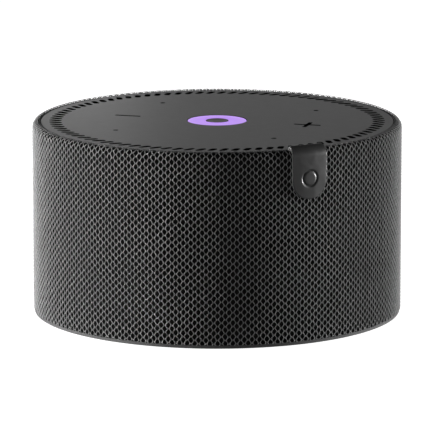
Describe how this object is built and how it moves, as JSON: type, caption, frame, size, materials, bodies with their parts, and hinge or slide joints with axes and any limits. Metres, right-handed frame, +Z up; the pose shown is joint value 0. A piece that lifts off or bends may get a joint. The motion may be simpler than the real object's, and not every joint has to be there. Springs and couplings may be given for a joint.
{
  "type": "smart home hub",
  "caption": "Round cloth-wrapped smart home hub with a slotted touch plate, a glowing ring, a rim tag and an upward-firing speaker.",
  "frame": {"origin": "centre of the base, on the surface it stands on", "axes": "+Z up through the top plate, -Y towards the front, +X to the right, with the plus mark on the +X side and the sockets at +Y"},
  "size_m": [0.098, 0.098, 0.0526],
  "materials": {
    "plate_plastic": "matt, very fine texture",
    "light_lens": "translucent, lit from below",
    "clear_guide": "clear",
    "knit_cloth": "open knit over a dark backing",
    "tag_rubber": "matt soft touch",
    "base_plastic": "matt",
    "inner_plastic": "moulded",
    "foot_rubber": "matt",
    "panel_plastic": "fine spark texture",
    "connector_steel": "plated",
    "socket_plastic": "moulded",
    "connector_ivory": "moulded",
    "slider_plastic": "matt",
    "acoustic_mesh": "fine mesh",
    "circuit_board": "solder mask",
    "gold_contact": "plated",
    "led_package": "gloss",
    "chip_epoxy": "moulded",
    "shield_tin": "tinned",
    "soft_foam": "foam",
    "thermal_gel": "soft",
    "aluminium": "anodised",
    "flex_film": "film",
    "basket_steel": "painted",
    "magnet_ferrite": "ground",
    "zinc_steel": "zinc plated",
    "coil_copper": "enamelled wire",
    "cone_paper": "pressed paper",
    "surround_rubber": "matt",
    "spider_cloth": "resin-dipped cloth",
    "lead_sleeve": "smooth",
    "screw_steel": "blackened"
  },
  "bodies": {
    "housing": {"top_plate": "plate_plastic", "light_ring": "light_lens", "centre_cap": "plate_plastic", "fabric_sleeve": "knit_cloth", "tag": "tag_rubber", "base_cover": "base_plastic", "grille_shell": "inner_plastic", "top_frame": "inner_plastic", "rubber_foot": "foot_rubber", "io_panel": "panel_plastic", "usb_shell": "connector_steel", "usb_housing": "socket_plastic", "audio_jack": "socket_plastic", "mute_switch": "connector_steel", "slot_mesh": "acoustic_mesh", "touch_board": "circuit_board", "touch_pads": "gold_contact", "leds": "led_package", "light_guide": "clear_guide", "light_shroud": "soft_foam", "microphones": "shield_tin", "mic_gaskets": "soft_foam", "flex_cable": "flex_film", "flex_sockets": "connector_ivory", "speaker_chamber": "inner_plastic", "driver_gasket": "soft_foam", "driver_basket": "basket_steel", "yoke": "zinc_steel", "magnet": "magnet_ferrite", "front_washer": "zinc_steel", "surround": "surround_rubber", "spider": "spider_cloth", "terminal_lugs": "gold_contact", "magnet_pad": "soft_foam", "speaker_leads": "lead_sleeve", "lead_grommet": "soft_foam", "lead_socket": "connector_ivory", "main_board": "circuit_board", "processor": "chip_epoxy", "thermal_pad": "thermal_gel", "heat_sink": "aluminium", "memory_chip": "chip_epoxy", "wifi_shield": "shield_tin", "amplifier_chip": "chip_epoxy", "inductor": "chip_epoxy", "capacitors": "aluminium", "antennas": "flex_film", "base_screws": "screw_steel", "driver_screws": "screw_steel", "frame_screws": "screw_steel", "board_screws": "screw_steel"},
    "cone_assembly": {"voice_coil": "coil_copper", "cone": "cone_paper", "dust_cap": "cone_paper"},
    "mute_slider": {"mute_slider": "slider_plastic"}
  },
  "joints": [
    {"name": "cone_travel", "type": "slide", "parent": "housing", "child": "cone_assembly", "axis": [0, 0, 1], "range_m": [-0.002, 0.002], "stiffness_N_per_m": 600, "deforming": ["surround", "spider"]},
    {"name": "mute_slide", "type": "slide", "parent": "housing", "child": "mute_slider", "axis": [1, 0, 0], "range_m": [0, 0.002]}
  ]
}
